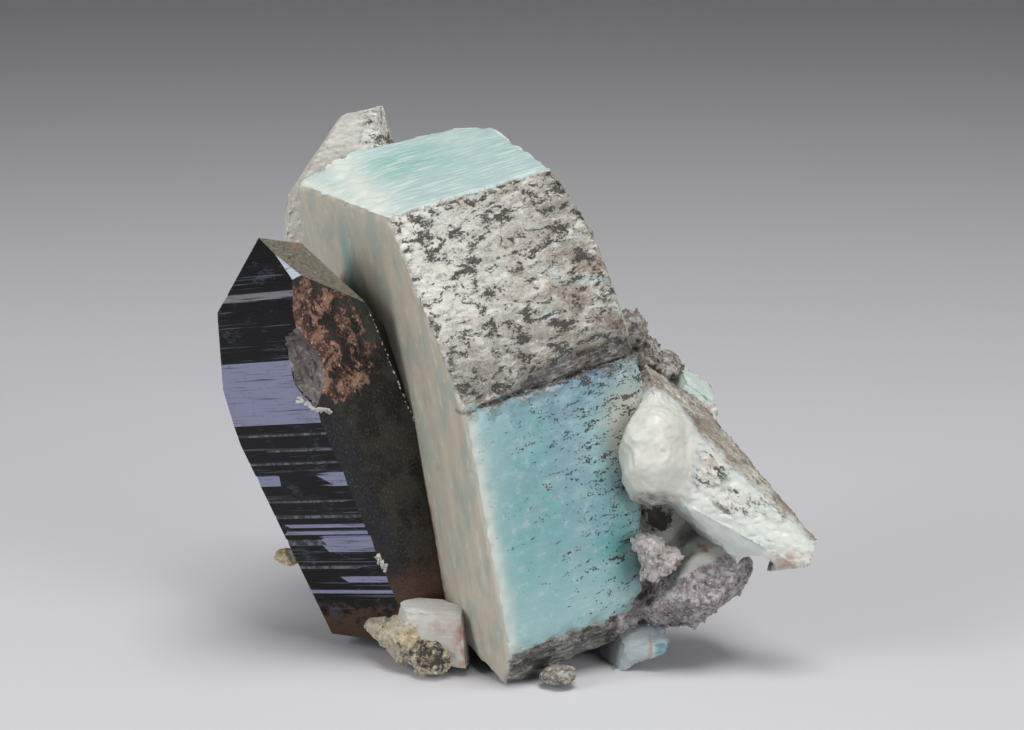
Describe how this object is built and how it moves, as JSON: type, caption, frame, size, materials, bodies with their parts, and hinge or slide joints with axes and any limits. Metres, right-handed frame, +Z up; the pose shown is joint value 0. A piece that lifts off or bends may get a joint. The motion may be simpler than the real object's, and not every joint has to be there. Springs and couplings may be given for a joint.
{
  "type": "mineral specimen",
  "caption": "Free-standing mineral specimen: a blocky blue-green microcline crystal with a dark smoky quartz prism at its side, smaller feldspar crystals and pale albite matrix.",
  "frame": {"origin": "middle of the specimen's box, on the surface it stands on", "axes": "+Z up, the ledged front of the main crystal looks towards -Y, the side crystal points to +X"},
  "size_m": [0.081, 0.0498, 0.0736],
  "materials": {
    "blue_green_microcline": "satin crystal faces, etched and speckled in places",
    "smoky_quartz": "glossy, near black, striated",
    "pale_microcline": "matt, etched, speckled black",
    "grey_feldspar": "rough, granular",
    "white_feldspar": "satin cleavage face",
    "albite": "rough, sugary",
    "iron_stained_albite": "rough, stained yellow and dark green"
  },
  "bodies": {
    "root": {"main_microcline_crystal": "blue_green_microcline", "smoky_quartz_crystal": "smoky_quartz", "side_microcline_crystal": "pale_microcline", "spur_microcline_crystal": "pale_microcline", "rear_microcline_crystal": "pale_microcline", "rear_feldspar_lumps": "grey_feldspar", "foot_microcline_crystal": "blue_green_microcline", "pale_feldspar_blade": "white_feldspar", "albite_matrix": "albite", "albite_knobs": "albite", "iron_stained_crust": "iron_stained_albite", "foot_nub": "grey_feldspar", "quartz_chip": "iron_stained_albite"}
  },
  "joints": []
}
